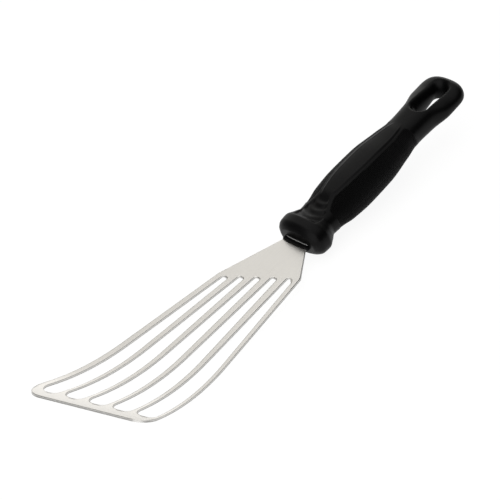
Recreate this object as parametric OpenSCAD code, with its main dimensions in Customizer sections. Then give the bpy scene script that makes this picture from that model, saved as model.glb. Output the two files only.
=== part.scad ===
// Slotted fish spatula: one bent steel sheet with five flared slots, and a moulded
// handle around its tang. Millimetres. The part lies as it rests on a table, +Z up,
// with the blade towards +X. The sheet is first drawn flat, as (u, v) on the blank:
// u runs from the neck to the tip and v across it.

/* [Sheet] */
// Thickness of the steel sheet
sheet_t = 1; // [0.7:0.05:1.4]
// Neck between the handle's front and the flare, inside the handle's collar
neck_l = 2.7; // [2:0.1:6]
// Half width of the neck where it leaves the collar
neck_half_w = 7.9; // [6:0.1:9]
// Distance from the neck to the shoulder on the long side
shoulder_u_long = 33; // [28:0.5:36]
// Half width at the shoulder on the long side
shoulder_half_long = 20.2; // [19:0.1:22]
// Distance from the neck to the shoulder on the short side
shoulder_u_short = 15.7; // [13:0.1:18]
// Half width at the shoulder on the short side
shoulder_half_short = 19.55; // [18.5:0.05:21]
// Outward slope of the edge on the long side
flare_long = 0.152; // [0.14:0.001:0.17]
// Outward slope of the edge on the short side
flare_short = 0.139; // [0.13:0.001:0.16]
// Rounding of the two shoulders
shoulder_r = 3; // [1:0.5:6]

/* [Tip] */
// Distance from the neck to the middle of the tip edge
tip_u = 140.7; // [138:0.2:150]
// Slant of the tip edge, as the tangent of its angle
tip_slant = 0.25; // [0.15:0.005:0.28]
// Rounding of the leading corner
tip_r_long = 10; // [6:0.5:13]
// Rounding of the trailing corner
tip_r_short = 9; // [5:0.5:11]

/* [Bend] */
// Distance from the neck to the start of the bend, square to the bend line
bend_u = 80.5; // [70:0.2:95]
// Radius of the bend on the upper face
bend_r = 95; // [70:1:140]
// Angle of the bend line from square across the blade
bend_skew = 15.7; // [0:0.1:22]

/* [Slots] */
// Number of slots
slot_count = 5; // [3:2:5]
// Pitch of the slots at the neck end
slot_pitch_top = 7.7; // [7:0.1:8]
// Pitch of the slots at the tip end
slot_pitch_tip = 13.7; // [13.3:0.05:14]
// Half width of a slot at the neck end
slot_half_top = 2.05; // [1.4:0.05:2.3]
// Half width of a slot at the tip end
slot_half_tip = 6.15; // [5.2:0.05:6.3]
// Distance from the neck to the top of the middle slot
slot_top_u = 25.3; // [24:0.1:34]
// Slant of the row of slot tops
slot_top_slant = 0.5; // [0.4:0.01:0.54]
// Width of the solid band between the slots and the tip edge
tip_band = 6.6; // [5:0.1:10]
// Rounding of a slot's corners at the neck end
slot_r_top = 1.4; // [0.6:0.1:1.8]
// Rounding of a slot's leading corner at the tip
slot_r_lead = 5.5; // [3:0.25:6]
// Rounding of a slot's trailing corner at the tip
slot_r_trail = 3.5; // [2:0.25:4.5]

/* [Tang] */
// Length of the tang inside the handle
tang_l = 52; // [40:1:58]
// How much thinner the neck and tang are than the blade, on the underside
tang_step = 0.05; // [0.02:0.01:0.2]
// Half width of the tang inside the handle
tang_half_w = 5.5; // [4:0.25:6.5]
// Radius of the holes that lock the moulding to the tang
lock_r = 2.2; // [1.5:0.1:3]
// Distance from the handle's front to the first locking hole
lock_start = 16; // [12:0.5:20]
// Spacing of the locking holes
lock_pitch = 14; // [10:0.5:16]
// Number of locking holes
lock_count = 3; // [1:1:3]

/* [Handle] */
// Length of the handle
handle_l = 120; // [110:1:140]
// Rise of the handle from the plane of the blade, in degrees
handle_pitch = 4.4; // [2:0.1:7]
// Height of the handle's axis above the sheet at its front
handle_lift = 0.25; // [-1:0.05:1]
// Upward sweep of the handle's end
butt_sweep = 0.7; // [0:0.1:2]
// Height of the collar above and below the sheet
collar_h = 1.2; // [0.6:0.1:2]
// Half width of the collar round the neck
collar_half_w = 8.4; // [7:0.1:9.5]
// Bulge of the collar's front face
collar_bow = 0.6; // [0.2:0.1:1]
// Distance from the handle's front to the flange's widest place
flange_l = 7.5; // [6.5:0.1:9]
// Distance from the handle's front to the waist
waist_l = 15; // [13:0.1:18]
// Length of the loop's rounded nose
nose_l = 10.5; // [8:0.1:13]
// Half width of the flange at the front
flange_half_w = 14.9; // [14:0.1:17]
// Half height of the flange at the front
flange_half_h = 9.5; // [8.5:0.1:11]
// Half width of the waist behind the flange
waist_half_w = 11.1; // [9.5:0.1:12.5]
// Half height of the waist behind the flange
waist_half_h = 7.5; // [6.5:0.1:8.5]
// Half width of the palm swell
swell_half_w = 13.6; // [12:0.1:15.5]
// Half height of the palm swell
swell_half_h = 10.2; // [9:0.1:12]
// Half width of the slim part before the loop
slim_half_w = 9.3; // [8:0.1:11]
// Half height of the slim part before the loop
slim_half_h = 7.4; // [6.5:0.1:9]
// Half width of the hanging loop
loop_half_w = 13.1; // [12:0.1:15]
// Half height of the hanging loop
loop_half_h = 5.2; // [4.5:0.1:6.5]
// Squareness of the handle's cross-section, 2 is an ellipse
section_power = 2.4; // [2:0.05:3]

/* [Hanging hole] */
// Distance from the handle's end to the far end of the hole
hole_end_gap = 6.2; // [5.5:0.1:9]
// Length of the hole at its waist
hole_l = 21; // [18:0.5:24]
// Radius of the hole's wide end at its waist
hole_r = 4.7; // [3.8:0.1:5.5]
// Radius of the hole's narrow end at its waist
hole_r_narrow = 1.6; // [1.2:0.1:3]
// Rounding of the hole's rim
hole_rim_r = 2.2; // [1.5:0.1:3]

/* [Thumb rest] */
// Depth of the thumb rest
scoop_depth = 0.9; // [0.5:0.1:1.4]
// Half width of the thumb rest at its front
scoop_half_w = 8.2; // [6.5:0.1:9.5]
// Length of the thumb rest
scoop_l = 16; // [13:0.5:18]
// Height of each thumb rib
rib_h = 0.6; // [0.3:0.05:0.9]
// Pitch of the thumb ribs
rib_pitch = 4.6; // [4:0.1:5]
// Number of thumb ribs
rib_count = 3; // [1:1:3]
// Half width of the raised panel on top of the handle
panel_half_w = 5.5; // [4.5:0.1:6.5]
// Height of the raised panel's edge
panel_h = 0.4; // [0.2:0.05:0.6]

/* [Grip] */
// Depth of the grip that runs round the flanks and the underside
grip_depth = 0.25; // [0.1:0.05:0.5]
// Distance from the waist to the front edge of the grip
grip_gap = 4; // [2.5:0.25:7]
// Plain margin between the raised panel and the grip
grip_margin = 1.2; // [0.8:0.1:2]

/* [Hidden] */

// Steel and plastic colours
steel_colour = [0.78, 0.78, 0.76];
plastic_colour = [0.06, 0.06, 0.065];
// Overrun of a cutting shape past the face that it opens
cut = 1;
// Plan points on a rounding, and on a long edge past the start of the bend
round_steps = 6;
edge_steps = 8;
// Room that the blank needs across and past the tip
blank_reach = 1.4 * tip_u;

// Points between two blank points, the first one left out
function run(a, b, steps) = [for (i = [1:steps]) a + (b - a) * i / steps];

// Outline with each corner rounded by its own radius, from its corners in order
function unit(a) = a / norm(a);
function corner_arc(before, at, after, r) =
    let (
        to_before = unit(before - at),
        to_after = unit(after - at),
        half = acos(to_before * to_after) / 2,
        centre = at + unit(to_before + to_after) * r / sin(half),
        first = at + to_before * r / tan(half) - centre,
        turn = (180 - 2 * half) * sign(cross(to_after, to_before))
    )
    r == 0 ? [at] : [
        for (i = [0:round_steps])
            let (angle = turn * i / round_steps)
            centre + [
                first.x * cos(angle) - first.y * sin(angle),
                first.x * sin(angle) + first.y * cos(angle)
            ]
    ];
function rounded(corners, radii) =
    let (n = len(corners))
    [for (i = [0:n - 1])
        each corner_arc(corners[(i + n - 1) % n], corners[i], corners[(i + 1) % n], radii[i])];

// The same outline with its long sides divided, so that they follow the bend
function divided(points) =
    let (n = len(points))
    [for (i = [0:n - 1])
        let (a = points[i], b = points[(i + 1) % n])
        each run(a, b, norm(b - a) > tip_band ? edge_steps : 1)];

// Blank point to bent plan: the sheet is flat up to the bend line, then follows
// a cylinder whose axis is parallel to that line
mid_r = bend_r + sheet_t / 2;
skew_dir = [cos(bend_skew), sin(bend_skew)];
function bent_reach(a) = a < bend_u ? a : bend_u + mid_r * sin((a - bend_u) / mid_r * 180 / PI);
function bent_rise(a) = a < bend_u ? 0 : mid_r * (1 - cos((a - bend_u) / mid_r * 180 / PI));
function bent_plan(p) =
    let (a = p * skew_dir)
    p + (bent_reach(a) - a) * skew_dir;
function bent_point(p) = [bent_plan(p).x, bent_plan(p).y, bent_rise(p * skew_dir)];

// Corners of the blank: the long side is at -v
function long_edge_v(u) = -shoulder_half_long - flare_long * (u - shoulder_u_long);
function short_edge_v(u) = shoulder_half_short + flare_short * (u - shoulder_u_short);
function tip_u_at(v) = tip_u - tip_slant * v;
long_tip_v = (long_edge_v(tip_u)) / (1 - flare_long * tip_slant);
short_tip_v = (short_edge_v(tip_u)) / (1 + flare_short * tip_slant);
blank = divided(rounded(
    [
        [0, neck_half_w],
        [0, -neck_half_w],
        [shoulder_u_long, -shoulder_half_long],
        [tip_u_at(long_tip_v), long_tip_v],
        [tip_u_at(short_tip_v), short_tip_v],
        [shoulder_u_short, shoulder_half_short]
    ],
    [0, 0, shoulder_r, tip_r_long, tip_r_short, shoulder_r]
));

// Slot k of the row, counted from the middle one
function slot(k) =
    let (
        top_u = slot_top_u - slot_top_slant * slot_pitch_top * k,
        top_v = slot_pitch_top * k,
        tip_v = slot_pitch_tip * k
    )
    divided(rounded(
        [
            [top_u, top_v + slot_half_top],
            [top_u, top_v - slot_half_top],
            [tip_u_at(tip_v - slot_half_tip) - tip_band, tip_v - slot_half_tip],
            [tip_u_at(tip_v + slot_half_tip) - tip_band, tip_v + slot_half_tip]
        ],
        [
            min(slot_r_top, slot_half_top * 0.95),
            min(slot_r_top, slot_half_top * 0.95),
            min(slot_r_lead, slot_half_tip),
            slot_r_trail
        ]
    ));

// Handle axis, from the middle of its front face to its end
sweep_s = 0.73 * handle_l;
function on_axis(s, up) =
    let (rise = up + butt_sweep * pow(max(0, (s - sweep_s) / (handle_l - sweep_s)), 2))
    [
        -neck_l - s * cos(handle_pitch) + rise * sin(handle_pitch),
        0,
        handle_lift + s * sin(handle_pitch) + rise * cos(handle_pitch)
    ];

// Stations along the handle: place, half width and half height. The flange and the
// waist have places of their own, and the rest share out the length behind the waist.
function mean(a, b) = (a + b) / 2;
loop_s = handle_l - nose_l;
back_l = loop_s - waist_l;
stations = [
    [0, 0.765 * flange_half_w, 0.655 * flange_half_h],
    [0.2 * flange_l, 0.905 * flange_half_w, 0.83 * flange_half_h],
    [0.53 * flange_l, 0.985 * flange_half_w, 0.98 * flange_half_h],
    [flange_l, flange_half_w, flange_half_h],
    [
        mean(flange_l, waist_l),
        1.015 * mean(flange_half_w, waist_half_w),
        0.965 * mean(flange_half_h, waist_half_h)
    ],
    [waist_l, waist_half_w, waist_half_h],
    [waist_l + 0.06 * back_l, 1.03 * waist_half_w, 1.07 * waist_half_h],
    [waist_l + 0.14 * back_l, 0.94 * swell_half_w, 0.92 * swell_half_h],
    [waist_l + 0.27 * back_l, swell_half_w, swell_half_h],
    [waist_l + 0.43 * back_l, 0.98 * swell_half_w, 0.97 * swell_half_h],
    [waist_l + 0.59 * back_l, mean(swell_half_w, slim_half_w), 0.93 * mean(swell_half_h, slim_half_h)],
    [waist_l + 0.72 * back_l, slim_half_w, slim_half_h],
    [waist_l + 0.83 * back_l, 1.05 * slim_half_w, 1.03 * slim_half_h],
    [waist_l + 0.93 * back_l, 0.97 * loop_half_w, 1.19 * loop_half_h],
    [loop_s, loop_half_w, loop_half_h],
];
last_station = len(stations) - 1;

// Slope of column c at station i, none where the column turns, so that the curve
// through the stations never overshoots them
function step_slope(i, c) = (stations[i + 1][c] - stations[i][c]) / (stations[i + 1][0] - stations[i][0]);
function slope(i, c) =
    i == 0 ? step_slope(0, c) :
    i == last_station ? 0 :
    let (a = step_slope(i - 1, c), b = step_slope(i, c))
    a * b <= 0 ? 0 : 2 * a * b / (a + b);
function station_before(s) = max([for (i = [0:last_station - 1]) if (stations[i][0] <= s) i]);
function along(s, c) =
    s >= loop_s ? stations[last_station][c] :
    let (
        i = station_before(s),
        span = stations[i + 1][0] - stations[i][0],
        t = (s - stations[i][0]) / span
    )
    stations[i][c] * (1 + 2 * t) * (1 - t) * (1 - t)
        + stations[i + 1][c] * t * t * (3 - 2 * t)
        + slope(i, c) * span * t * (1 - t) * (1 - t)
        - slope(i + 1, c) * span * t * t * (1 - t);

// The loop ends in a flat-nosed oval in plan and in a round edge in height
nose_power = 2.3;
nose_h = loop_half_h;
function nose(s) =
    s <= loop_s ? 1 :
    pow(max(0, 1 - pow((s - loop_s) / (handle_l - loop_s), nose_power)), 1 / nose_power);
function edge_round(s) =
    s <= handle_l - nose_h ? 1 :
    sqrt(max(0, 1 - pow((s - handle_l + nose_h) / nose_h, 2)));
function half_w(s) = along(s, 1) * nose(s);
function half_h(s) = along(s, 2) * edge_round(s);

// Smooth step from 0 to 1 between two values
function blend(x, a, b) = let (t = min(1, max(0, (x - a) / (b - a)))) t * t * (3 - 2 * t);

// Thumb rest and raised panel, as heights added to the top of the handle
scoop_s = 1.15 * flange_l;
scoop_end = scoop_s + scoop_l;
function scoop_edge(s) =
    let (narrow = panel_half_w * 0.6)
    scoop_half_w - (scoop_half_w - narrow) * blend(s, scoop_s + 3, scoop_end + 2);
function scoop_mask(s, y) =
    blend(s, scoop_s - 0.8, scoop_s + 1.2) * (1 - blend(s, scoop_end - 4, scoop_end + 2))
        * (1 - blend(abs(y), scoop_edge(s) - 1.6, scoop_edge(s)));
function rib_wave(s, y) =
    let (
        bow = y * y / 12,
        place = (s - scoop_s - bow) / rib_pitch
    )
    place < 0.1 || place > rib_count ? 0 : pow(sin(place * 180), 2);
panel_end = waist_l + 0.68 * back_l;
function panel_edge(s) =
    let (t = (2 * s - scoop_end - panel_end) / (panel_end - scoop_end + 8))
    panel_half_w * sqrt(max(0, 1 - t * t));
function top_relief(s, y) =
    scoop_mask(s, y) * (rib_h * rib_wave(s, y) - scoop_depth)
        + panel_h * blend(s, scoop_end - 3, scoop_end + 4) * (1 - blend(s, panel_end - 4, panel_end + 2))
            * (1 - blend(abs(y), panel_edge(s) - 0.4, panel_edge(s) + 0.5));

// The grip is a shallow recess all round, apart from the raised panel and its margin
grip_s = waist_l + grip_gap;
function grip_mask(s, y, a) =
    blend(s, grip_s - 0.4, grip_s + 0.4) * (1 - blend(s, panel_end - 1, panel_end + 2))
        * (sin(a) <= 0 ? 1 : blend(abs(y), panel_edge(s) + grip_margin, panel_edge(s) + 2 * grip_margin));

// Cross-section of the handle at s, as a ring of points about the axis
ring_points = 52;
function ring(s) = [
    for (i = [0:ring_points - 1])
        let (
            a = 360 * i / ring_points,
            across = sign(cos(a)) * pow(abs(cos(a)), 2 / section_power),
            up = sign(sin(a)) * pow(abs(sin(a)), 2 / section_power),
            y = half_w(s) * across,
            relief = sin(a) > 0 ? top_relief(s, y) * min(1, sin(a) * 3) : 0,
            dip = grip_depth * grip_mask(s, y, a)
        )
        on_axis(s, (half_h(s) - dip) * up + relief) + [0, (half_w(s) - dip) * across, 0]
];

// Places of the rings: close at the flange, the ribs and the nose
fine_s = 1.04 * flange_l;
fine_end = scoop_end + 2.2;
fine_rings = 28;
plain_rings = 20;
nose_rings = 9;
ring_places = concat(
    [for (t = [0, 0.05, 0.12, 0.2, 0.32, 0.46, 0.62, 0.78, 0.93]) t * flange_l],
    [for (i = [0:fine_rings]) fine_s + i * (fine_end - fine_s) / fine_rings],
    [for (i = [1:plain_rings]) fine_end + i * (loop_s - fine_end) / plain_rings],
    [for (i = [1:nose_rings]) loop_s + nose_l * sin(89 * i / nose_rings)]
);

// The part rests on the underside of the bend and on the underside of the flange:
// the height of a point once tilted, the lift that puts the bend on the table, and
// the tilt at which the flange's lowest point is on the table too
function tilted_z(p, tilt) = p.z * cos(tilt) - (p.x * skew_dir.x + p.y * skew_dir.y) * sin(tilt);
function bend_lift(tilt) = bend_r + sheet_t - bend_r * cos(tilt) + bend_u * sin(tilt);
flange_rings = [for (t = [0.27:0.07:1.07]) ring(t * flange_l)];
function flange_z(tilt) = min([for (r = flange_rings) for (p = r) tilted_z(p, tilt)]) + bend_lift(tilt);
function level_tilt(low, high, halvings) =
    let (middle = (low + high) / 2)
    halvings == 0 ? middle :
    flange_z(middle) < 0 ? level_tilt(middle, high, halvings - 1) :
    level_tilt(low, middle, halvings - 1);
rest_tilt = level_tilt(0, 15, 20);
rest_z = bend_lift(rest_tilt);

// Rotation of a point of the drawing into the rest pose, before it is centred
function skewed(p, a) = [p.x * cos(a) - p.y * sin(a), p.x * sin(a) + p.y * cos(a), p.z];
function tipped(p, a) = [p.x * cos(a) + p.z * sin(a), p.y, p.z * cos(a) - p.x * sin(a)];
function rested(p) = skewed(tipped(skewed(p, -bend_skew), rest_tilt), bend_skew);

// The origin is below the middle of the part's box
blank_rested = [for (p = blank) rested(bent_point(p))];
box_x = [rested(on_axis(handle_l, 0)).x, max([for (p = blank_rested) p.x])];
box_y = [min([for (p = blank_rested) p.y]), max([for (p = blank_rested) p.y])];

module in_rest_pose()
    translate([-(box_x[0] + box_x[1]) / 2, -(box_y[0] + box_y[1]) / 2, rest_z])
        rotate([0, 0, bend_skew])
            rotate([0, rest_tilt, 0])
                rotate([0, 0, -bend_skew])
                    children();

// Flat sheet that turns into a part of a cylinder at the bend line
module bent_sheet() {
    bend_span = 60;
    rotate([0, 0, bend_skew]) {
        translate([-blank_reach / 2, -blank_reach / 2, -sheet_t])
            cube([blank_reach / 2 + bend_u, blank_reach, sheet_t]);
        translate([bend_u, blank_reach / 2, bend_r])
            rotate([90, 0, 0])
                rotate([0, 0, -90])
                    rotate_extrude(angle = bend_span, $fn = 180)
                        translate([bend_r, 0])
                            square([sheet_t, blank_reach]);
    }
}

module plan_cutter(points)
    translate([0, 0, -blank_reach / 4])
        linear_extrude(blank_reach / 2)
            polygon([for (p = points) bent_plan(p)]);

// Neck and tang in the plane of the sheet, with the locking holes
module tang() {
    difference() {
        union() {
            translate([-neck_l, -neck_half_w, tang_step - sheet_t])
                cube([neck_l, 2 * neck_half_w, sheet_t - tang_step]);
            translate([-neck_l - tang_l, -tang_half_w, tang_step - sheet_t])
                cube([tang_l, 2 * tang_half_w, sheet_t - tang_step]);
        }
        for (i = [0:lock_count - 1])
            translate([-neck_l - lock_start - i * lock_pitch, 0, -sheet_t - cut])
                cylinder(h = sheet_t + 2 * cut, r = lock_r, $fn = 48);
    }
}

module blade_flat_frame() {
    difference() {
        intersection() {
            bent_sheet();
            plan_cutter(blank);
        }
        for (k = [-(slot_count - 1) / 2:(slot_count - 1) / 2])
            plan_cutter(slot(k));
    }
    tang();
}

module blade()
    color(steel_colour)
        in_rest_pose()
            blade_flat_frame();

// Faces of a tube of rings that have n points each, with last as its last ring
function tube_faces(n, last) = [
    for (j = [0:last - 1], i = [0:n - 1])
        let (a = j * n + i, b = j * n + (i + 1) % n)
        each [[a, b, b + n], [a, b + n, a + n]]
];

module handle_body() {
    rings = [for (s = ring_places) ring(s)];
    n = ring_points;
    last = len(rings) - 1;
    middle_front = on_axis(0, 0);
    middle_back = on_axis(handle_l, 0);
    centre_a = (last + 1) * n;
    centre_b = centre_a + 1;
    polyhedron(
        points = concat([for (r = rings) each r], [middle_front, middle_back]),
        faces = concat(
            tube_faces(n, last),
            [for (i = [0:n - 1]) [centre_a, (i + 1) % n, i]],
            [for (i = [0:n - 1]) [centre_b, last * n + i, last * n + (i + 1) % n]]
        )
    );
}

// Teardrop hanging hole: the wide end is towards the handle's end, and the rim
// flares out above and below
hole_far_s = handle_l - hole_end_gap - hole_rim_r;
hole_wide_s = hole_far_s - hole_r;
hole_narrow_s = hole_far_s - hole_l + hole_r_narrow;
function hole_outline(grow) =
    let (
        rw = hole_r + grow,
        rn = hole_r_narrow + grow,
        d = hole_wide_s - hole_narrow_s,
        lean = asin((rw - rn) / d),
        steps = 10
    )
    concat(
        [for (i = [0:steps])
            let (a = -90 - lean + (180 + 2 * lean) * i / steps)
            [hole_wide_s + rw * cos(a), rw * sin(a)]],
        [for (i = [0:steps])
            let (a = 90 + lean + (180 - 2 * lean) * i / steps)
            [hole_narrow_s + rn * cos(a), rn * sin(a)]]
    );
module hanging_hole() {
    flare = [for (a = [0:22:88]) [loop_half_h - hole_rim_r * (1 - sin(a)), hole_rim_r * (1 - cos(a))]];
    levels = concat(
        [[-loop_half_h - 4, hole_rim_r * 1.7]],
        [for (i = [4:-1:0]) [-flare[i][0], flare[i][1]]],
        [for (i = [0:4]) flare[i]],
        [[loop_half_h + 4, hole_rim_r * 1.7]]
    );
    rings = [for (l = levels) [for (p = hole_outline(l[1])) on_axis(p.x, l[0]) + [0, p.y, 0]]];
    n = len(rings[0]);
    last = len(rings) - 1;
    polyhedron(
        points = [for (r = rings) each r],
        faces = concat(
            tube_faces(n, last),
            [[for (i = [n - 1:-1:0]) i]],
            [[for (i = [0:n - 1]) last * n + i]]
        )
    );
}

// Low collar that closes the handle's front round the neck, with a bowed front face
module collar() {
    edge = collar_h / 3;
    depth = sheet_t + 2 * collar_h;
    plan = rounded(
        [
            [-neck_l - edge, collar_half_w],
            [-neck_l - edge, -collar_half_w],
            [-collar_bow, -collar_half_w],
            [0, -collar_half_w / 3],
            [0, collar_half_w / 3],
            [-collar_bow, collar_half_w]
        ],
        [0, 0, neck_l / 3, neck_l, neck_l, neck_l / 3]
    );
    hull() {
        translate([0, 0, edge - sheet_t - collar_h])
            linear_extrude(depth - 2 * edge)
                polygon(plan);
        translate([0, 0, -sheet_t - collar_h])
            linear_extrude(depth)
                offset(-edge)
                    polygon(plan);
    }
}

module handle()
    color(plastic_colour)
        in_rest_pose()
            difference() {
                union() {
                    handle_body();
                    collar();
                }
                hanging_hole();
                tang();
            }

blade();
handle();
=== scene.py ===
import math

import bmesh
import bpy
import numpy as np
from mathutils import Matrix, Vector


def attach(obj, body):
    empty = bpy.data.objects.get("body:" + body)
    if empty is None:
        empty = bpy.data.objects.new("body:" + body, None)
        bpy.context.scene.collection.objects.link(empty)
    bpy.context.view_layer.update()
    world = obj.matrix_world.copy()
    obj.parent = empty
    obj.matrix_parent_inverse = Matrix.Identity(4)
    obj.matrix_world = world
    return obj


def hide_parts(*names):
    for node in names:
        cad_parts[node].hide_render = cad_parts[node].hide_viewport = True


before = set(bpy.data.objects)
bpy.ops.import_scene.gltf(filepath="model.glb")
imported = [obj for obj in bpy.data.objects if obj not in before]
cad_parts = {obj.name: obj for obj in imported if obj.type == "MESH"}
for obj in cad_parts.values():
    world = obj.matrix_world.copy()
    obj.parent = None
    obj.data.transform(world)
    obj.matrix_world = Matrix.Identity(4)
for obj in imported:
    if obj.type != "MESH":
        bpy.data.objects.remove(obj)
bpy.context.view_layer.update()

MM = 0.001

# The drawing is in millimetres, with the sheet's flat upper face at z = 0. On the
# blank, u runs from the neck to the tip and v runs across it. The rest turn and
# shift put the drawing on the table.

SHEET_T = 1.0
NECK_L = 2.7
BEND_SKEW = math.radians(15.7)
BEND_U, BEND_R = 80.5, 95.0
HANDLE_PITCH = math.radians(4.4)
HANDLE_L, HANDLE_LIFT, HANDLE_SIDE = 120.0, 0.3, 0.5
BUTT_SWEEP, SWEEP_S = 0.7, 0.73 * HANDLE_L
REST_TILT = math.radians(4.81524)
REST_SHIFT = np.array([-11.91122, 0.91577, 8.0927])


def turn_z(a):
    """Turn by a about the upright axis."""
    return np.array([[math.cos(a), -math.sin(a), 0], [math.sin(a), math.cos(a), 0], [0, 0, 1]])


def turn_y(a):
    """Turn by a about the axis that runs across the sheet."""
    return np.array([[math.cos(a), 0, math.sin(a)], [0, 1, 0], [-math.sin(a), 0, math.cos(a)]])


REST_TURN = turn_z(BEND_SKEW) @ turn_y(REST_TILT) @ turn_z(-BEND_SKEW)


def to_table(points):
    """Drawing millimetres to metres in the rest pose: a tilt about the bend line, then a shift."""
    return (points @ REST_TURN.T + REST_SHIFT) * MM


# Curves


def smooth(x, a, b):
    """Smooth step from 0 at a to 1 at b: 3t^2 - 2t^3."""
    t = np.clip((x - a) / (b - a), 0, 1)
    return t * t * (3 - 2 * t)


def squared(wave, power):
    """Side of a squared oval: a cosine or sine to the power 2 / n, with its sign kept."""
    return np.sign(wave) * np.abs(wave) ** (2 / power)


def even(a, b, step):
    """Places from a up to b, without b, about one step apart."""
    return np.linspace(a, b, int(round((b - a) / step)) + 1)[:-1]


def line(a, b, steps):
    """Straight run of steps + 1 points from a to b."""
    t = np.linspace(0, 1, steps + 1)[:, None]
    return np.asarray(a) * (1 - t) + np.asarray(b) * t


def arc(centre, r, from_a, to_a, steps):
    """Part of a circle between two angles, in steps + 1 points."""
    a = np.linspace(from_a, to_a, steps + 1)[:, None]
    return np.asarray(centre) + r * np.concatenate([np.cos(a), np.sin(a)], -1)


def fillet(before, at, after, r, steps):
    """Arc of radius r that rounds the corner between two straight runs."""
    before, at, after = (np.asarray(p, float) for p in (before, at, after))
    e, f = before - at, after - at
    e, f = e / np.linalg.norm(e), f / np.linalg.norm(f)
    half = math.acos(float(e @ f)) / 2
    centre = at + (e + f) / np.linalg.norm(e + f) * r / math.sin(half)
    first = at + e * r / math.tan(half) - centre
    sweep = (math.pi - 2 * half) * math.copysign(1, float(f[0] * e[1] - f[1] * e[0]))
    t = np.linspace(0, sweep, steps + 1)[:, None]
    side = np.array([-first[1], first[0]])
    return centre + first * np.cos(t) + side * np.sin(t)


def chain(*runs):
    """Runs one after another, with each shared point once."""
    return np.concatenate([runs[0]] + [r[1:] for r in runs[1:]])


def lengths(run):
    """Length along a run from its first point to each of its points."""
    return np.r_[0, np.cumsum(np.linalg.norm(np.diff(run, axis=0), axis=1))]


def resample(run, from_s, to_s, steps):
    """Even points on a run between two lengths measured along it."""
    s = lengths(run)
    t = np.linspace(from_s, to_s, steps + 1)
    return np.stack([np.interp(t, s, run[:, 0]), np.interp(t, s, run[:, 1])], -1)


def coons(top, bottom, left, right):
    """Surface over four edges: ruled both ways, less the bilinear corners."""
    s = np.linspace(0, 1, len(left))[:, None, None]
    t = np.linspace(0, 1, len(top))[None, :, None]
    ruled = (1 - s) * top[None] + s * bottom[None] + (1 - t) * left[:, None] + t * right[:, None]
    corners = (
        (1 - s) * (1 - t) * top[0] + (1 - s) * t * top[-1]
        + s * (1 - t) * bottom[0] + s * t * bottom[-1]
    )
    return ruled - corners


# Mesh helpers

FINE_WELD, WELD, COARSE_WELD = 1e-5, 1e-4, 1e-3


def grid_quads(rows, cols, start=0, wrap=False):
    """Quads of a rows x cols grid of points, closed round the columns where wrap is set."""
    j = np.arange(cols if wrap else cols - 1)
    i = np.arange(rows - 1)[:, None]
    k = (j + 1) % cols
    a, b = i * cols + j, i * cols + k
    c, d = (i + 1) * cols + k, (i + 1) * cols + j
    return np.stack([a, b, c, d], -1).reshape(-1, 4) + start


def weld(points, quads, step):
    """Points closer than a step become one. Returns the kept points' numbers and the quads."""
    key = np.round(points / step).astype(np.int64)
    _, first, back = np.unique(key, axis=0, return_index=True, return_inverse=True)
    return first, back.reshape(-1)[quads]


def mesh_piece(name, points, quads, layers):
    """A closed piece from points, quads and named values at the points. A quad with two
    corners in one point becomes a triangle, and one with fewer than three is dropped."""
    same = quads == np.roll(quads, -1, axis=1)
    count = same.sum(1)
    four = quads[count == 0]
    three = quads[count == 1][~same[count == 1]].reshape(-1, 3)
    mesh = bpy.data.meshes.new(name)
    mesh.from_pydata(points.tolist(), [], four.tolist() + three.tolist())
    for layer, values in layers.items():
        kind, key = ("FLOAT", "value") if values.ndim == 1 else ("FLOAT_VECTOR", "vector")
        data = mesh.attributes.new(layer, kind, "POINT").data
        data.foreach_set(key, values.astype(np.float32).ravel())
    shell = bmesh.new()
    shell.from_mesh(mesh)
    bmesh.ops.recalc_face_normals(shell, faces=shell.faces)
    shell.to_mesh(mesh)
    shell.free()
    mesh.update()
    mesh.shade_smooth()
    piece = bpy.data.objects.new(name, mesh)
    bpy.context.scene.collection.objects.link(piece)
    return piece


# Blade: one sheet of steel, as patches of the blank that are then bent

NECK_HALF, NECK_INSIDE = 7.9, 3.0
# u, v of each shoulder: the long side is at negative v and the short side at positive v
LONG_SHOULDER, SHORT_SHOULDER = (33.0, -20.2), (15.7, 19.55)
SHOULDER_R, SHOULDER_STEPS = 3.0, 8
FLARE_LONG, FLARE_SHORT = 0.152, 0.139
PLATE_LONG_U, PLATE_SHORT_U = 37.5, 18.4
TIP_U, TIP_SLANT, TIP_BAND = 140.7, 0.25, 6.6
TIP_R_LONG, TIP_R_SHORT = 10.0, 9.0
CORNER_STEPS = 24
SLOTS = (-2, -1, 0, 1, 2)
SLOT_TOP_U, ROW_SLANT = 25.3, 0.5
PITCH_TOP, PITCH_TIP = 7.7, 13.7
HALF_TOP, HALF_TIP = 2.05, 6.15
SLOT_R_TOP, SLOT_R_LEAD, SLOT_R_TRAIL = 1.4, 5.5, 3.5
COLUMNS = 9
EDGE_R, EDGE_STEPS = 0.14, 3


def bend(flat, height):
    """Blank point (u, v) and height above the upper face to the drawing: flat up to
    the bend line, then round a cylinder whose axis is parallel to that line."""
    along = np.array([math.cos(BEND_SKEW), math.sin(BEND_SKEW)])
    a = flat @ along
    angle = np.maximum(a - BEND_U, 0) / (BEND_R + SHEET_T / 2)
    reach = np.where(a < BEND_U, a, BEND_U + (BEND_R - height) * np.sin(angle))
    rise = BEND_R - (BEND_R - height) * np.cos(angle)
    plan = flat + (reach - a)[..., None] * along
    return np.concatenate([plan, rise[..., None]], -1)


def tip_at(v):
    """u of the slanted tip at v."""
    return TIP_U - TIP_SLANT * v


def long_v(u):
    """v of the straight edge on the long side."""
    return LONG_SHOULDER[1] - FLARE_LONG * (u - LONG_SHOULDER[0])


def short_v(u):
    """v of the straight edge on the short side."""
    return SHORT_SHOULDER[1] + FLARE_SHORT * (u - SHORT_SHOULDER[0])


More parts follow.
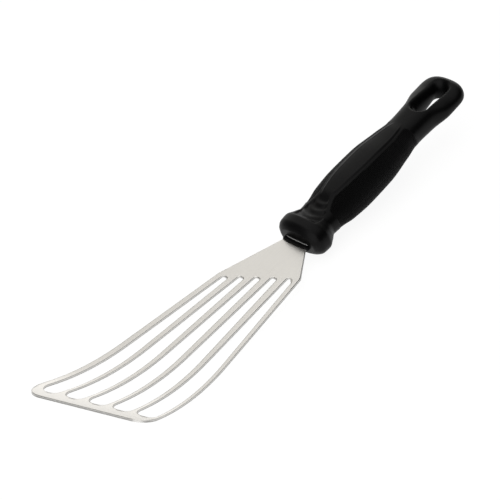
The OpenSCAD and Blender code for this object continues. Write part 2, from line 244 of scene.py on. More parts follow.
def slot_sides(k):
    """Left and right side of slot k, from the point of its top where the slanted row
    of slots touches it to the middle of its end, as far as its corner's arc goes."""
    to_top, across_top, down_top, straight, corner_arc = 5, 2, 9, 90, 12
    top_u, top_v = SLOT_TOP_U - ROW_SLANT * PITCH_TOP * k, PITCH_TOP * k
    end_v = PITCH_TIP * k
    touch = math.pi + math.atan(ROW_SLANT)
    middle = (tip_at(end_v) - TIP_BAND, end_v)
    centres = [(top_u + SLOT_R_TOP, top_v + sign * (HALF_TOP - SLOT_R_TOP)) for sign in (-1, 1)]
    sides = []
    for sign, r in ((-1, SLOT_R_LEAD), (1, SLOT_R_TRAIL)):
        corner = (tip_at(end_v + sign * HALF_TIP) - TIP_BAND, end_v + sign * HALF_TIP)
        lean = math.atan2(sign * (HALF_TIP - HALF_TOP) + end_v - top_v, corner[0] - top_u)
        square_on = math.pi - sign * math.pi / 2 + lean
        if sign < 0:
            start = arc(centres[0], SLOT_R_TOP, touch, square_on, to_top + across_top + down_top)
        else:
            first = arc(centres[0], SLOT_R_TOP, touch, math.pi, to_top)
            last = arc(centres[1], SLOT_R_TOP, math.pi, square_on, down_top)
            start = chain(first, line(first[-1], last[0], across_top), last)
        end = fillet(start[-1], corner, middle, r, corner_arc)
        sides.append(chain(start, line(start[-1], end[0], straight), end))
    return sides


def plate_patches(slots, edges):
    """Fan of patches from the neck to the row of slot tops. Each of the two edges is a
    side of the neck, its rounded shoulder and the point where the plate ends."""
    inside, to_shoulder, to_end = 6, 24, 2
    count = len(slots) + 1
    tops = [edges[0][2]] + [s[0][0] for s in slots] + [edges[1][2]]
    neck = [np.array([-NECK_L - NECK_INSIDE, v]) for v in np.linspace(-NECK_HALF, NECK_HALF, count + 1)]
    bare = [
        chain(
            line(n, [0, v], inside), line([0, v], shoulder[0], to_shoulder), shoulder,
            line(shoulder[-1], end, to_end),
        )
        for n, (v, shoulder, end) in zip((neck[0], neck[-1]), edges)
    ]
    rows = len(bare[0]) - 1
    seams = [bare[0]] + [line(a, b, rows) for a, b in zip(neck[1:-1], tops[1:-1])] + [bare[1]]
    return [
        coons(
            line(neck[j], neck[j + 1], COLUMNS), line(tops[j], tops[j + 1], COLUMNS),
            seams[j], seams[j + 1],
        )
        for j in range(count)
    ]


def blade_patches():
    """The blank as patches between shared edges: plate, six tines and tip band."""
    slots = [slot_sides(k) for k in SLOTS]
    lv = long_v(TIP_U) / (1 - FLARE_LONG * TIP_SLANT)
    sv = short_v(TIP_U) / (1 + FLARE_SHORT * TIP_SLANT)
    long_tip, short_tip = np.array([tip_at(lv), lv]), np.array([tip_at(sv), sv])
    long_shoulder = fillet([0, -NECK_HALF], LONG_SHOULDER, long_tip, SHOULDER_R, SHOULDER_STEPS)
    short_shoulder = fillet([0, NECK_HALF], SHORT_SHOULDER, short_tip, SHOULDER_R, SHOULDER_STEPS)
    long_corner = fillet(LONG_SHOULDER, long_tip, short_tip, TIP_R_LONG, CORNER_STEPS)
    short_corner = fillet(long_tip, short_tip, SHORT_SHOULDER, TIP_R_SHORT, CORNER_STEPS)[::-1]
    side_l = np.array([PLATE_LONG_U, long_v(PLATE_LONG_U)])
    side_r = np.array([PLATE_SHORT_U, short_v(PLATE_SHORT_U)])
    edges = ((-NECK_HALF, long_shoulder, side_l), (NECK_HALF, short_shoulder, side_r))
    patches = plate_patches(slots, edges)

    # tines: the outer two end a quarter of the way round their tip corner
    n, quarter, middle = len(slots[0][0]) - 1, CORNER_STEPS // 4, CORNER_STEPS // 2
    outer = [
        chain(line(e, c[0], n - quarter), c[: quarter + 1])
        for e, c in ((side_l, long_corner), (side_r, short_corner))
    ]
    seams = [outer[0]] + [side for pair in slots for side in pair] + [outer[1]]
    for left, right in zip(seams[::2], seams[1::2]):
        patches.append(coons(
            line(left[0], right[0], COLUMNS), line(left[-1], right[-1], COLUMNS), left, right,
        ))

    # tip band: it is cut across under each end of a seam, a little closer together
    # than the seams, and its outer parts go round the corners as far as their middle
    closer, tip_steps = 0.985, 40
    lower = chain(
        long_corner[middle:], line(long_corner[-1], short_corner[-1], tip_steps),
        short_corner[: middle - 1 : -1],
    )
    length = lengths(lower)
    upper = [side[-1] for side in seams]
    cuts = [float(np.interp(p[1] * closer, lower[:, 1], length)) for p in upper[1:-1]]
    cuts = [0.0] + cuts + [length[-1]]
    rise = middle - quarter
    cross = [long_corner[quarter : middle + 1]]
    cross += [line(p, resample(lower, c, c, 0)[0], rise) for p, c in zip(upper[1:-1], cuts[1:-1])]
    cross += [short_corner[quarter : middle + 1]]
    for j in range(len(seams) - 1):
        low = resample(lower, cuts[j], cuts[j + 1], COLUMNS)
        patches.append(coons(line(upper[j], upper[j + 1], COLUMNS), low, cross[j], cross[j + 1]))
    return patches


def free_edge(quads, count):
    """Edges that only one quad uses, as pairs of point numbers in that quad's order."""
    edge = np.stack([quads, np.roll(quads, -1, axis=1)], -1).reshape(-1, 2)
    edge = edge[edge[:, 0] != edge[:, 1]]
    return edge[~np.isin(edge[:, 0] * count + edge[:, 1], edge[:, 1] * count + edge[:, 0])]


def outward(flat, rim):
    """Unit direction away from the sheet at each point of its free edge: the mean of
    the directions square to the two edges that meet there."""
    step = flat[rim[:, 1]] - flat[rim[:, 0]]
    step /= np.linalg.norm(step, axis=1, keepdims=True)
    away = np.stack([step[:, 1], -step[:, 0]], -1)
    out = np.zeros_like(flat)
    np.add.at(out, rim[:, 0], away)
    np.add.at(out, rim[:, 1], away)
    ids = np.unique(rim)
    out[ids] /= np.linalg.norm(out[ids], axis=1, keepdims=True)
    return ids, out


def blade_mesh():
    """Upper and lower face from the patches, joined by a rounded edge that is carried
    along every free edge of the blank: quarter circles of radius r at the top and the
    bottom and a straight cut between. The third result is 1 on the cut edge and less on
    the first and last step of its rounding. It marks where the steel gets a darker grey,
    partly the duller sheared steel and partly painted shade."""
    flat, quads, start = [], [], 0
    for p in blade_patches():
        rows, cols = p.shape[:2]
        quads.append(grid_quads(rows, cols, start))
        flat.append(p.reshape(-1, 2))
        start += rows * cols
    flat = np.concatenate(flat)
    kept, quads = weld(flat, np.concatenate(quads), WELD)
    flat = flat[kept]
    n = len(flat)
    rim = free_edge(quads, n)
    ids, out = outward(flat, rim)
    inner = flat.copy()
    inner[ids] -= out[ids] * EDGE_R
    turn = np.linspace(0, math.pi / 2, EDGE_STEPS + 1)
    levels = [(EDGE_R * math.sin(a), -EDGE_R * (1 - math.cos(a))) for a in turn[1:]]
    levels += [(r, -SHEET_T - z) for r, z in reversed(levels)]
    # painted shade, in part: the first and last step of the rounding take some of the cut edge's darker
    # grey
    part_cut_and_shade = 0.35
    place = np.full(n, -1)
    place[ids] = np.arange(len(ids))
    points = [bend(inner, np.zeros(n)), bend(inner, np.full(n, -SHEET_T))]
    cut_and_shade = [np.zeros(2 * n)]
    all_quads = [quads, quads[:, ::-1] + n]
    rings = [ids]
    for k, (r, z) in enumerate(levels):
        points.append(bend(inner[ids] + out[ids] * r, np.full(len(ids), z)))
        cut_and_shade.append(np.full(len(ids), part_cut_and_shade if k in (0, len(levels) - 1) else 1.0))
        rings.append(2 * n + k * len(ids) + np.arange(len(ids)))
    rings.append(ids + n)
    a, b = place[rim[:, 0]], place[rim[:, 1]]
    for upper, lower in zip(rings[:-1], rings[1:]):
        all_quads.append(np.stack([upper[b], upper[a], lower[a], lower[b]], -1))
    return np.concatenate(points), np.concatenate(all_quads), np.concatenate(cut_and_shade)


# Handle: places along it are s, from its front face to its end

# each station: its place, the half width there and the half height
STATIONS = np.array([
    [0, 11.5, 6.22], [1.5, 13.6, 7.89], [3.975, 14.8, 9.31], [7.5, 15.0, 9.5], [11.25, 13.3, 8.2],
    [15, 11.2, 7.5], [20.67, 11.65, 8.03], [28.23, 13.1, 9.38], [40.52, 13.9, 10.2],
    [55.64, 13.65, 9.89], [70.76, 11.7, 8.18], [83.04, 9.5, 7.4], [93.44, 10.0, 7.62],
    [102.89, 12.9, 6.19], [109.5, 13.3, 5.2],
])
LOOP_S, NOSE_H = STATIONS[-1, 0], STATIONS[-1, 2]
POWER, NOSE_POWER = 2.4, 2.5
FRONT_DOME = 0.25
SCOOP_S, SCOOP_END = 8.625, 24.625
SCOOP_DEPTH, SCOOP_HALF, SCOOP_BORDER = 0.9, 8.2, 1.6
RIB_H, RIB_PITCH, RIB_BOW = 0.6, 4.6, 12.0
RIB_START, RIBS = 0.1, 3
PANEL_END, PANEL_HALF, PANEL_H = 79.26, 5.5, 0.4
BEAD_H, BEAD_HALF, BEAD_INSET = 0.16, 0.45, 0.1
GRIP_S, GRIP_DEPTH, GRIP_MARGIN = 19.0, 0.25, 1.2
# soft borders: how far each one begins before its line and ends after it
SCOOP_FRONT, SCOOP_BACK = (0.8, 1.2), (4, 2)
PANEL_FRONT, PANEL_BACK, PANEL_SIDE = (3, 4), (4, 2), (0.4, 0.5)
GRIP_FRONT, GRIP_BACK = (0.3, 0.3), (0.5, 1.5)
RELIEF_FADE = 3
SKIN_R = 12.0
RING, FRONT_ROWS, TUBE_END = 192, 12, 84.0
ROUND_STEPS, SHEET_ROWS, RIM_ROWS = 160, 26, 33
HOLE_FAR, HOLE_R, HOLE_R_NARROW, HOLE_L = 113.2, 3.5, 3.2, 21.8
HOLE_FLARE, FAR_FLARE, HOLE_SIDE, HOLE_LEAN = 3.2, 1.6, 0.6, 2.0


def hermite(s, column):
    """Cubic curve through the stations. Its slope at each one is the harmonic mean of
    the slopes of the two runs beside it, and zero at a peak or a dip."""
    x, v = STATIONS[:, 0], STATIONS[:, column]
    d = np.diff(v) / np.diff(x)
    m = np.zeros(len(x))
    m[0] = d[0]
    same = d[:-1] * d[1:] > 0
    m[1:-1][same] = (2 * d[:-1] * d[1:] / np.where(same, d[:-1] + d[1:], 1))[same]
    i = np.clip(np.searchsorted(x, s, side="right") - 1, 0, len(x) - 2)
    span = x[i + 1] - x[i]
    t = np.clip((s - x[i]) / span, 0, 1)
    return (
        v[i] * (1 + 2 * t) * (1 - t) ** 2 + v[i + 1] * t * t * (3 - 2 * t)
        + m[i] * span * t * (1 - t) ** 2 - m[i + 1] * span * t * t * (1 - t)
    )


def half_width(s):
    """Half width of the plan, closed at the end by a flat-nosed oval."""
    t = np.clip((s - LOOP_S) / (HANDLE_L - LOOP_S), 0, 1)
    return hermite(s, 1) * np.maximum(1 - t ** NOSE_POWER, 0) ** (1 / NOSE_POWER)


def half_height(s):
    """Half height, closed at the end by a quarter circle."""
    t = np.clip((s - HANDLE_L + NOSE_H) / NOSE_H, 0, 1)
    return hermite(s, 2) * np.sqrt(np.maximum(1 - t * t, 0))


def on_axis(s, y, up):
    """Place along the handle, across it and above its axis to the drawing. The axis is
    pitched, and its end sweeps up by a square."""
    up = up + BUTT_SWEEP * np.maximum((s - SWEEP_S) / (HANDLE_L - SWEEP_S), 0) ** 2
    c, d = math.cos(HANDLE_PITCH), math.sin(HANDLE_PITCH)
    across = y + HANDLE_SIDE + 0 * s
    return np.stack([-NECK_L - s * c + up * d, across, HANDLE_LIFT + s * d + up * c], -1)


def panel_edge(s):
    """Half width of the raised panel: a long ellipse behind the thumb rest, which goes
    on a little past the panel at both ends."""
    beyond = 8
    t = (2 * s - SCOOP_END - PANEL_END) / (PANEL_END - SCOOP_END + beyond)
    return PANEL_HALF * np.sqrt(np.maximum(1 - t * t, 0))


def scoop_edge(s):
    """Half width of the thumb rest, which narrows smoothly to the panel."""
    narrow = PANEL_HALF * 0.6
    narrowing = smooth(s, SCOOP_S + 3, SCOOP_END + 2)
    return SCOOP_HALF - (SCOOP_HALF - narrow) * narrowing


def soft_step(x, at, border):
    """Smooth step that begins before a line and ends after it."""
    return smooth(x, at - border[0], at + border[1])


def thumb_rest(s, y):
    """Scoop less deep at its edges, with ribs as a squared sine bowed towards the flange."""
    edge = scoop_edge(s)
    mask = (
        soft_step(s, SCOOP_S, SCOOP_FRONT) * (1 - soft_step(s, SCOOP_END, SCOOP_BACK))
        * (1 - smooth(np.abs(y), edge - SCOOP_BORDER, edge))
    )
    place = (s - SCOOP_S - y * y / RIB_BOW) / RIB_PITCH
    wave = np.where((place < RIB_START) | (place > RIBS), 0, np.sin(place * math.pi) ** 2)
    return mask * (RIB_H * wave - SCOOP_DEPTH)


def raised_panel(s, y):
    """Panel with a soft border and a thin bead that runs along it."""
    inside = soft_step(s, SCOOP_END, PANEL_FRONT) * (1 - soft_step(s, PANEL_END, PANEL_BACK))
    edge = panel_edge(s)
    step = 1 - soft_step(np.abs(y), edge, PANEL_SIDE)
    bead = np.exp(-(((np.abs(y) - edge + BEAD_INSET) / BEAD_HALF) ** 2))
    return inside * (PANEL_H * step + BEAD_H * bead)


def grip_mask(s, y, a):
    """1 on the grip: all round apart from the thumb rest, the panel and their margin."""
    edge = np.maximum(panel_edge(s), scoop_edge(s)) + GRIP_MARGIN
    top = smooth(np.abs(y), edge, edge + GRIP_MARGIN)
    along = soft_step(s, GRIP_S, GRIP_FRONT) * (1 - soft_step(s, PANEL_END, GRIP_BACK))
    return along * np.where(np.sin(a) <= 0, 1, top)


def section(s, a):
    """Squared oval of the handle at s, with its grip recess, and with its top relief,
    which fades out towards the sides."""
    across, up = squared(np.cos(a), POWER), squared(np.sin(a), POWER)
    y = half_width(s) * across
    grip = grip_mask(s, y, a)
    relief = (thumb_rest(s, y) + raised_panel(s, y)) * np.clip(np.sin(a) * RELIEF_FADE, 0, 1)
    dip = GRIP_DEPTH * grip
    return (half_width(s) - dip) * across, (half_height(s) - dip) * up + relief, grip


def teardrop():
    """Waist of the hanging hole and its outward directions: two arcs of a circle, the
    wide one at the far end, joined by straight sides."""
    wide_points, narrow_points = 160, 80
    wide, narrow = HOLE_FAR - HOLE_R, HOLE_FAR - HOLE_L + HOLE_R_NARROW
    lean = math.asin((HOLE_R - HOLE_R_NARROW) / (wide - narrow))
    big = np.linspace(-math.pi / 2 - lean, math.pi / 2 + lean, wide_points)
    small = np.linspace(math.pi / 2 + lean, 1.5 * math.pi - lean, narrow_points)
    a = np.r_[big, small]
    out = np.stack([np.cos(a), np.sin(a)], -1)
    on_wide = np.arange(len(a)) < len(big)
    centre = np.where(on_wide, wide, narrow)
    r = np.where(on_wide, HOLE_R, HOLE_R_NARROW)
    return np.stack([centre, 0 * centre + HOLE_SIDE], -1) + out * r[:, None], out


def loop_outline():
    """Outer edge of the loop in plan: the tube's last ring as its open side, then both
    sides and the nose in even steps."""
    fine = 400
    a = 2 * math.pi * np.arange(0, RING // 2 + 1) / RING
    open_side = half_width(TUBE_END) * squared(np.cos(a), POWER)
    open_side = np.stack([np.full(len(a), TUBE_END), open_side], -1)
    nose = LOOP_S + (HANDLE_L - LOOP_S) * np.sin(np.linspace(0, math.pi / 2, fine))
    s = np.r_[np.linspace(TUBE_END, LOOP_S, fine), nose[1:]]
    side = np.stack([s, half_width(s)], -1)
    side[-1] = [HANDLE_L, 0]
    round_end = chain(side * [1, -1], side[::-1])
    round_end = resample(round_end, 0, lengths(round_end)[-1], ROUND_STEPS)
    return np.concatenate([open_side, round_end[1:-1]])


def round_hole(want, at, values):
    """Values given round the hole at angles at, read at the angles wanted."""
    return np.stack([np.interp(want, at, v, period=2 * math.pi) for v in values.T], -1)


def loop_columns():
    """Matching points round the loop: its outer edge, the hole's waist and its outward
    direction. Each column runs along one ray from a centre inside the hole."""
    centre = np.array([HOLE_FAR - 0.45 * HOLE_L, 0])
    outer = loop_outline()
    waist, out = teardrop()
    at = np.unwrap(np.arctan2(*(waist - centre).T[::-1]))
    order = np.argsort(at)
    turn = at[order[0]]
    want = (np.arctan2(*(outer - centre).T[::-1]) - turn) % (2 * math.pi) + turn
    waist, out = (round_hole(want, at[order], values[order]) for values in (waist, out))
    return outer, waist, out / np.linalg.norm(out, axis=1, keepdims=True)


def loop_height(s, y):
    """Height of the loop's upper face over its axis: the handle's squared oval."""
    t = np.clip(np.abs(y) / np.maximum(half_width(s), 1e-9), 0, 1)
    return half_height(s) * np.maximum(1 - t ** POWER, 0) ** (1 / POWER)


def loop_sheets():
    """The loop as an upper and a lower sheet round the hole, joined by a half ellipse:
    it stands off the waist by a (1 - cos f), with a smaller a at the far end, rises by
    b sin f and leans along the handle by c sin f."""
    outer, waist, out = loop_columns()
    g = np.sin(np.linspace(0, math.pi / 2, SHEET_ROWS))[:, None, None]
    f = np.linspace(math.pi / 2, -math.pi / 2, RIM_ROWS)[:, None]
    far = np.maximum(out[:, :1], 0) ** 2
    flare = out * (HOLE_FLARE * (1 - far) + FAR_FLARE * far)
    sheets, rims = [], []
    for sign in (1, -1):
        plan = (waist + flare + [sign * HOLE_LEAN, 0])[None] * (1 - g) + outer[None] * g
        face = loop_height(plan[..., 0], plan[..., 1])
        face[-1] = np.where(plan[-1, :, 0] > TUBE_END + 1e-6, 0, face[-1])
        sheets.append(on_axis(plan[..., 0], plan[..., 1], sign * face))
        rims.append(face[:1])
    side = waist[None] + flare[None] * (1 - np.cos(f))[..., None]
    lift = np.where(f > 0, rims[0], rims[1]) * np.sin(f)
    sheets.append(on_axis(side[..., 0] + HOLE_LEAN * np.sin(f), side[..., 1], lift))
    return sheets


def handle_mesh():
    """Front face, tube of rings and loop. The third result is 1 on the grip, and the
    fourth is the place on the skin in mm, along and around the handle. The rings are
    closest together over the thumb rest."""
    s = np.r_[even(0, 8, 0.35), even(8, 27, 0.2), even(27, TUBE_END, 0.5), TUBE_END][:, None]
    a = 2 * math.pi * np.arange(RING)[None] / RING
    y, up, grip = section(s, a)
    around = (a + 0 * s) * SKIN_R
    tube = on_axis(s, y, up)
    skin = np.stack([s + 0 * a, around, 0 * around], -1)

    # front face: the first ring drawn in to its centre, a little domed
    t = np.linspace(0, 1, FRONT_ROWS)[:-1, None]
    front = on_axis(-FRONT_DOME * (1 - t ** 2) + 0 * a, y[:1] * t, up[:1] * t)
    bare = front.size // 3
    points = [front.reshape(-1, 3), tube.reshape(-1, 3)]
    rows = len(t) + len(s)
    quads = [grid_quads(rows, RING, 0, True)]
    start = rows * RING
    for sheet in loop_sheets():
        quads.append(grid_quads(*sheet.shape[:2], start, True))
        points.append(sheet.reshape(-1, 3))
        start += sheet.size // 3
    points = np.concatenate(points)
    masks, skins = np.zeros(len(points)), np.zeros((len(points), 3))
    masks[bare : bare + grip.size] = grip.ravel()
    skins[bare : bare + grip.size] = skin.reshape(-1, 3)
    kept, quads = weld(points, np.concatenate(quads), COARSE_WELD)
    return points[kept], quads, masks[kept], skins[kept]


def collar_mesh():
    """Low collar round the neck: a rounded bar across the sheet, drawn in at its front
    by a quarter circle and bowed towards the blade, with both ends drawn in to a line."""
    half_w, high, low, soft, bow, inside = 8.1, 1.2, -2.2, 0.45, 0.6, 1.2
    ring, straight, rounded, end_rows = 120, 5, 7, 8
    across_power, up_power = 12, 5
    a = np.linspace(0, 2 * math.pi, ring, endpoint=False)[None]
    across, up = squared(np.cos(a), across_power), squared(np.sin(a), up_power)
    turn = np.linspace(0, math.pi / 2, rounded)[:, None]
    inset = np.r_[np.zeros((straight, 1)), soft * (1 - np.cos(turn))]
    body = np.linspace(-NECK_L - inside, -soft, straight + 1)[:-1, None]
    ahead = np.r_[body, -soft + soft * np.sin(turn)]
    middle = (high + low) / 2
    y = (half_w - inset) * across
    z = middle + ((high - low) / 2 - inset) * up
    t = np.linspace(1, 0, end_rows + 1)[1:, None]
    y = np.r_[y[:1] * t[::-1], y, y[-1:] * t]
    z = np.r_[middle + (z[:1] - middle) * t[::-1], z, middle + (z[-1:] - middle) * t]
    x = np.r_[0 * t + ahead[0], ahead, 0 * t] - bow * (y / half_w) ** 2 + 0 * a
    points = np.stack([x, y + 0 * a, z + 0 * a], -1).reshape(-1, 3)
    kept, quads = weld(points, grid_quads(len(x), ring, 0, True), WELD)
    return points[kept], quads


def glint_bead_mesh():
    """Painted highlight: a thin pale bead where the neck goes into the handle, a round bead
    across it that bows back towards its ends, which close to a point."""
    rows, cols, r, half, side = 60, 16, 0.26, 7.4, 0.7
    place, bow, height, end_power = -2.3, 0.2, 1.22, 8
    y = np.linspace(side - half, side + half, rows)[:, None]
    a = np.linspace(0, 2 * math.pi, cols, endpoint=False)[None]
    t = (y - side) / half
    r = r * np.sqrt(np.maximum(1 - t ** end_power, 0))
    x = place - bow * t * t + r * np.cos(a)
    z = height + r * np.sin(a)
    points = np.stack([x, y + 0 * a, z], -1).reshape(-1, 3)
    kept, quads = weld(points, grid_quads(rows, cols, 0, True), FINE_WELD)
    return points[kept], quads


# the blade's third result marks the cut edge's darker grey, partly painted shade
blade_points, blade_quads, blade_cut_and_shade = blade_mesh()
blade = mesh_piece("blade_sheet", to_table(blade_points), blade_quads, {"cut_edge_and_shade": blade_cut_and_shade})
handle_points, handle_quads, handle_grip, handle_skin = handle_mesh()
handle = mesh_piece(
    "handle_moulding", to_table(handle_points), handle_quads, {"grip": handle_grip, "skin": handle_skin},
)
collar_points, collar_quads = collar_mesh()
collar = mesh_piece("handle_collar", to_table(collar_points), collar_quads, {})
# painted highlight: a pale bead across the neck stands in for a bright line of light
glint_points, glint_quads = glint_bead_mesh()
glint_bead = mesh_piece("neck_painted_glint", to_table(glint_points), glint_quads, {})

# Materials

STEEL_DULL, STEEL_BRIGHT = (0.70, 0.682, 0.650), (0.78, 0.761, 0.727)
# darker grey of the cut edge: partly the duller sheared steel, partly painted shade
STEEL_CUT_AND_SHADE = (0.62, 0.61, 0.59)
BLACK_DEEP, BLACK_DUSTY = (0.0009, 0.0009, 0.0010), (0.0018, 0.0017, 0.0018)
# colours of the painted highlight along the neck
GLINT_DIM, GLINT_BRIGHT = (0.34, 0.34, 0.33), (0.5, 0.5, 0.49)
PLAIN_SHINE, GRIP_SHINE = 0.12, 0.05


def new_material(name):
    """A material with its node tree and its Principled shader."""
    material = bpy.data.materials.new(name)
    material.use_nodes = True
    tree = material.node_tree
    shader = next(n for n in tree.nodes if n.type == "BSDF_PRINCIPLED")
    return material, tree, shader


def feed(tree, socket, value):
    """Join a socket to another, or write a value on it."""
    if isinstance(value, bpy.types.NodeSocket):
        tree.links.new(value, socket)
    else:
        socket.default_value = value


def add(tree, kind, **inputs):
    """A node with its named inputs fed."""
    node = tree.nodes.new(kind)
    for key, value in inputs.items():
        feed(tree, node.inputs[key.replace("_", " ")], value)
    return node


def maths(tree, operation, a, b, clamp=False):
    """Result of a Math node on two sockets or numbers."""
    node = tree.nodes.new("ShaderNodeMath")
    node.operation, node.use_clamp = operation, clamp
    for socket, value in zip(node.inputs, (a, b)):
        feed(tree, socket, value)
    return node.outputs[0]


def scaled(tree, value, by, plus):
    """A value times one number or socket plus another."""
    return maths(tree, "ADD", maths(tree, "MULTIPLY", value, by), plus)


def mix_colour(tree, factor, a, b):
    """Mix of two colours, each a socket or three numbers."""
    node = tree.nodes.new("ShaderNodeMix")
    node.data_type = "RGBA"
    ends = [s for s in node.inputs if s.type == "RGBA"]
    feed(tree, node.inputs[0], factor)
    for socket, value in zip(ends, (a, b)):
        feed(tree, socket, (*value, 1) if isinstance(value, tuple) else value)
    return next(s for s in node.outputs if s.type == "RGBA")


def grain_group():
    """Noise on stretched coordinates: a long stretch along one side makes brushed
    streaks and an even one makes the fine grain of a moulding."""
    group = bpy.data.node_groups.new("grain", "ShaderNodeTree")
    face = group.interface
    face.new_socket("Place", in_out="INPUT", socket_type="NodeSocketVector")
    face.new_socket("Stretch", in_out="INPUT", socket_type="NodeSocketVector")
    face.new_socket("Contrast", in_out="INPUT", socket_type="NodeSocketFloat")
    face.new_socket("Value", in_out="OUTPUT", socket_type="NodeSocketFloat")
    source = group.nodes.new("NodeGroupInput")
    sink = group.nodes.new("NodeGroupOutput")
    stretched = group.nodes.new("ShaderNodeVectorMath")
    stretched.operation = "MULTIPLY"
    group.links.new(source.outputs["Place"], stretched.inputs[0])
    group.links.new(source.outputs["Stretch"], stretched.inputs[1])
    noise = add(
        group, "ShaderNodeTexNoise",
        Vector=stretched.outputs[0], Scale=1.0, Detail=3.0, Roughness=0.6,
    )
    centred = maths(group, "SUBTRACT", noise.outputs[0], 0.5)
    wide = maths(group, "MULTIPLY", centred, source.outputs["Contrast"])
    group.links.new(maths(group, "ADD", wide, 0.5, clamp=True), sink.inputs["Value"])
    return group


GRAIN = grain_group()


def grain(tree, stretch, contrast):
    """The grain group on Object coordinates, with its own stretch per metre."""
    node = tree.nodes.new("ShaderNodeGroup")
    node.node_tree = GRAIN
    place = tree.nodes.new("ShaderNodeTexCoord").outputs["Object"]
    tree.links.new(place, node.inputs["Place"])
    node.inputs["Stretch"].default_value = stretch
    node.inputs["Contrast"].default_value = contrast
    return node.outputs["Value"]


def attribute(tree, name, output):
    """One output of a named attribute of the mesh."""
    node = tree.nodes.new("ShaderNodeAttribute")
    node.attribute_name = name
    return node.outputs[output]


def satin_steel():
    """Stainless sheet with fine brushed streaks along it, soft handling clouds and a
    duller grey on the cut edge, partly the sheared steel's own and partly painted shade."""
    material, tree, shader = new_material("satin_steel")
    streaks = grain(tree, stretch=(60, 2300, 300), contrast=1.5)
    clouds = grain(tree, stretch=(45, 60, 40), contrast=1.6)
    both = scaled(tree, streaks, by=0.65, plus=maths(tree, "MULTIPLY", clouds, 0.35))
    # painted shade, in part: the cut edge is mixed towards a darker, rougher grey
    cut_and_shade = attribute(tree, "cut_edge_and_shade", "Fac")
    face = mix_colour(tree, both, STEEL_DULL, STEEL_BRIGHT)
    feed(tree, shader.inputs["Base Color"], mix_colour(tree, cut_and_shade, face, STEEL_CUT_AND_SHADE))
    shader.inputs["Metallic"].default_value = 1
    rough = scaled(tree, both, by=0.14, plus=0.24)
    rough = maths(tree, "ADD", rough, maths(tree, "MULTIPLY", cut_and_shade, 0.1), clamp=True)
    feed(tree, shader.inputs["Roughness"], rough)
    bump = add(tree, "ShaderNodeBump", Strength=0.08, Distance=0.02 * MM, Height=streaks)
    feed(tree, shader.inputs["Normal"], bump.outputs[0])
    return material


def black_plastic(name, shine):
    """Black moulding with a fine matt grain, and rows of small dots on the grip."""
    material, tree, shader = new_material(name)
    fine = grain(tree, stretch=(2600, 2600, 2600), contrast=1.5)
    clouds = grain(tree, stretch=(60, 60, 60), contrast=1.6)
    feed(tree, shader.inputs["Base Color"], mix_colour(tree, clouds, BLACK_DEEP, BLACK_DUSTY))
    shader.inputs["Specular IOR Level"].default_value = shine
    grip = attribute(tree, "grip", "Fac")
    dots = add(
        tree, "ShaderNodeTexVoronoi",
        Vector=attribute(tree, "skin", "Vector"), Scale=1.25, Randomness=0.25,
    )
    dots.voronoi_dimensions = "2D"
    raised = maths(tree, "MULTIPLY", maths(tree, "SUBTRACT", 0.5, dots.outputs["Distance"]), grip)
    rough = scaled(tree, fine, by=0.12, plus=0.34)
    rough = maths(tree, "ADD", rough, maths(tree, "MULTIPLY", grip, 0.08), clamp=True)
    feed(tree, shader.inputs["Roughness"], rough)
    small = add(tree, "ShaderNodeBump", Strength=0.25, Distance=0.03 * MM, Height=fine)
    large = add(
        tree, "ShaderNodeBump",
        Strength=1.0, Distance=0.6 * MM, Height=raised, Normal=small.outputs[0],
    )
    feed(tree, shader.inputs["Normal"], large.outputs[0])
    return material


def painted_glint_bead():
    """Painted highlight: pale, half-metal colour of the bead along the neck, a little rough along its
    length.
    """
    material, tree, shader = new_material("painted_glint_bead")
    specks = grain(tree, stretch=(500, 500, 500), contrast=1.6)
    feed(tree, shader.inputs["Base Color"], mix_colour(tree, specks, GLINT_DIM, GLINT_BRIGHT))
    feed(tree, shader.inputs["Roughness"], scaled(tree, specks, by=0.2, plus=0.35))
    shader.inputs["Metallic"].default_value = 0.5
    return material


def second_finish(piece, mask):
    """Second material on the faces whose corners have a mean mask above one half."""
    mesh = piece.data
    corner = np.empty(len(mesh.loops), np.int32)
    mesh.loops.foreach_get("vertex_index", corner)
    first = np.empty(len(mesh.polygons), np.int32)
    mesh.polygons.foreach_get("loop_start", first)
    mean = np.add.reduceat(mask[corner], first) / np.diff(np.r_[first, len(corner)])
    mesh.polygons.foreach_set("material_index", (mean > 0.5).astype(np.int32))


steel, plastic = satin_steel(), black_plastic("black_plastic", PLAIN_SHINE)
for piece, material, node, slot_name in (
    (blade, steel, "blade", "steel"),
    # the pale bead that carries the painted highlight
    (glint_bead, painted_glint_bead(), "blade", "steel"),
    (handle, plastic, "handle", "plastic"),
    (collar, plastic, "handle", "plastic"),
):
    piece.data.materials.append(material)
    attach(piece, "root")
    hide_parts(node)
handle.data.materials.append(black_plastic("grip_plastic", GRIP_SHINE))
second_finish(handle, handle_grip)

# Table, light and camera


def seen_directly(tree):
    """1 for rays from the eye and for mirror and glass rays, 0 for soft light."""
    rays = tree.nodes.new("ShaderNodeLightPath").outputs
    either = maths(tree, "MAXIMUM", rays["Is Camera Ray"], rays["Is Glossy Ray"])
    return maths(tree, "MAXIMUM", either, rays["Is Transmission Ray"])


def table():
    """White table that is partly lit from within for the eye, so its shadow stays faint."""
    half, grey, glow = 6.0, 0.16, 0.91
    mesh = bpy.data.meshes.new("table")
    corners = [(-half, -half, 0), (half, -half, 0), (half, half, 0), (-half, half, 0)]
    mesh.from_pydata(corners, [], [(0, 1, 2, 3)])
    floor = bpy.data.objects.new("table", mesh)
    bpy.context.scene.collection.objects.link(floor)
    material, tree, shader = new_material("white_table")
    shader.inputs["Base Color"].default_value = (grey, grey, grey, 1)
    shader.inputs["Roughness"].default_value = 0.9
    shader.inputs["Specular IOR Level"].default_value = 0
    shader.inputs["Emission Color"].default_value = (1, 1, 1, 1)
    feed(tree, shader.inputs["Emission Strength"], maths(tree, "MULTIPLY", seen_directly(tree), glow))
    mesh.materials.append(material)


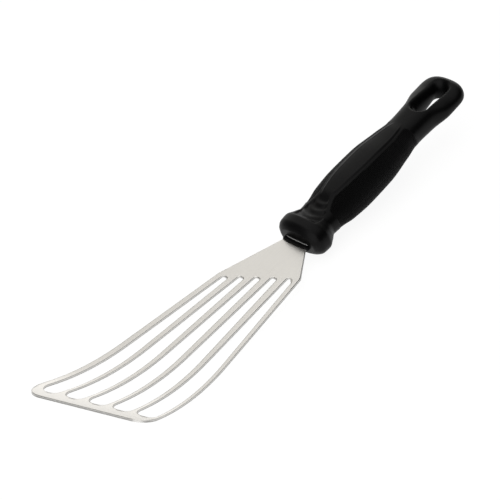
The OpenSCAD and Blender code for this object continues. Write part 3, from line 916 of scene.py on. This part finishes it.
def softbox(name, place, aim, size, power):
    """Rectangular lamp at a place in metres, turned to its aim, with its power in watts."""
    light = bpy.data.lights.new(name, "AREA")
    light.shape = "RECTANGLE"
    light.size, light.size_y = size
    light.energy = power
    lamp = bpy.data.objects.new(name, light)
    lamp.location = place
    lamp.rotation_euler = (Vector(aim) - Vector(place)).to_track_quat("-Z", "Y").to_euler()
    bpy.context.scene.collection.objects.link(lamp)


def room_light():
    """Room as a soft slope of light: strength rises by a smooth step of the cosine
    between a ray and the bright far side."""
    bright_side, warm_white = (-0.57, -0.78, 0.26), (1, 0.99, 0.965, 1)
    slope = {"From Min": 0.4, "From Max": 0.93, "To Min": 0.07, "To Max": 0.93}
    world = bpy.data.worlds.new("room")
    world.use_nodes = True
    tree = world.node_tree
    way = tree.nodes.new("ShaderNodeVectorMath")
    way.operation = "DOT_PRODUCT"
    tree.links.new(tree.nodes.new("ShaderNodeTexCoord").outputs["Generated"], way.inputs[0])
    way.inputs[1].default_value = bright_side
    ramp = tree.nodes.new("ShaderNodeMapRange")
    ramp.interpolation_type = "SMOOTHSTEP"
    for key, value in slope.items():
        ramp.inputs[key].default_value = value
    tree.links.new(way.outputs["Value"], ramp.inputs["Value"])
    sky = tree.nodes["Background"]
    sky.inputs["Color"].default_value = warm_white
    tree.links.new(ramp.outputs["Result"], sky.inputs["Strength"])
    bpy.context.scene.world = world


def photo_camera():
    """Camera where the photograph was taken from: its eye in mm, and its axes to the
    right, up and back out of the picture."""
    eye = np.array([472.322, 672.291, 629.331])
    right = [-0.697909, 0.680007, -0.224754]
    up = [-0.555144, -0.315379, 0.769644]
    back = [0.45248, 0.661912, 0.597607]
    data = bpy.data.cameras.new("camera")
    data.sensor_width = 36
    data.lens = 153.74
    data.clip_start, data.clip_end = 0.01, 50
    pose = np.eye(4)
    pose[:3, :3] = np.array([right, up, back]).T
    pose[:3, 3] = eye * MM
    camera = bpy.data.objects.new("camera", data)
    camera.matrix_world = Matrix(pose.tolist())
    bpy.context.scene.collection.objects.link(camera)
    return camera


table()
softbox("overhead", (0.0, 0.0, 1.4), (0, 0, 0), (1.6, 1.6), 8.0)
softbox("front_end", (1.7, 0.6, 1.0), (0, 0, 0), (2.4, 2.4), 27.0)
softbox("far_low", (-1.05, -0.95, 0.28), (0, 0, 0.02), (1.2, 0.4), 0.8)
room_light()
bpy.context.scene.camera = photo_camera()
bpy.context.scene.view_settings.view_transform = "Standard"
